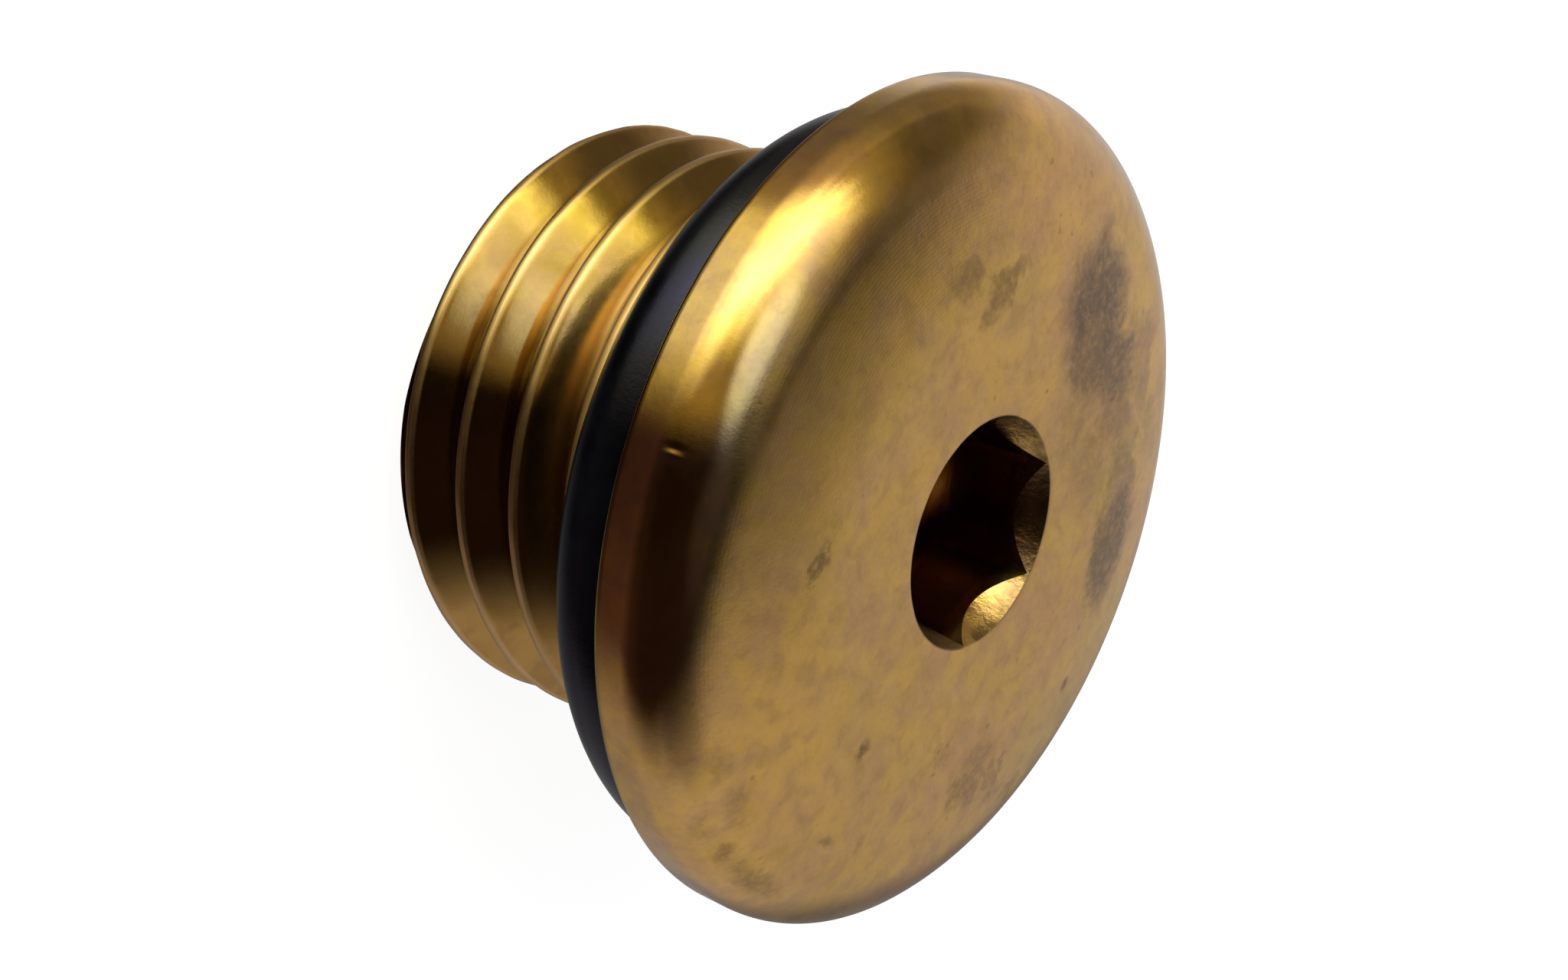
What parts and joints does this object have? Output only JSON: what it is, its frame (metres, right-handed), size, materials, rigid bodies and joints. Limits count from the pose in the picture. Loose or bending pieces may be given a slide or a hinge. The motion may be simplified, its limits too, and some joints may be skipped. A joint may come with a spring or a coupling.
{
  "type": "brass plug",
  "caption": "Turned brass sealing plug with a domed round head, a countersunk hex socket, a short threaded shank and a black rubber O-ring seated in the groove under the head.",
  "frame": {"origin": "centre of the flat end of the thread, where the plug stands on a table", "axes": "+Z along the plug's axis from the end of the thread to the head's face; +X through a corner of the hex socket"},
  "size_m": [0.0148, 0.0148, 0.009],
  "materials": {
    "brass": "turned, satin, lightly tarnished with brown and grey-purple stains",
    "rubber": "moulded, satin black"
  },
  "bodies": {
    "root": {"plug_body": "brass", "o_ring": "rubber"}
  },
  "joints": []
}
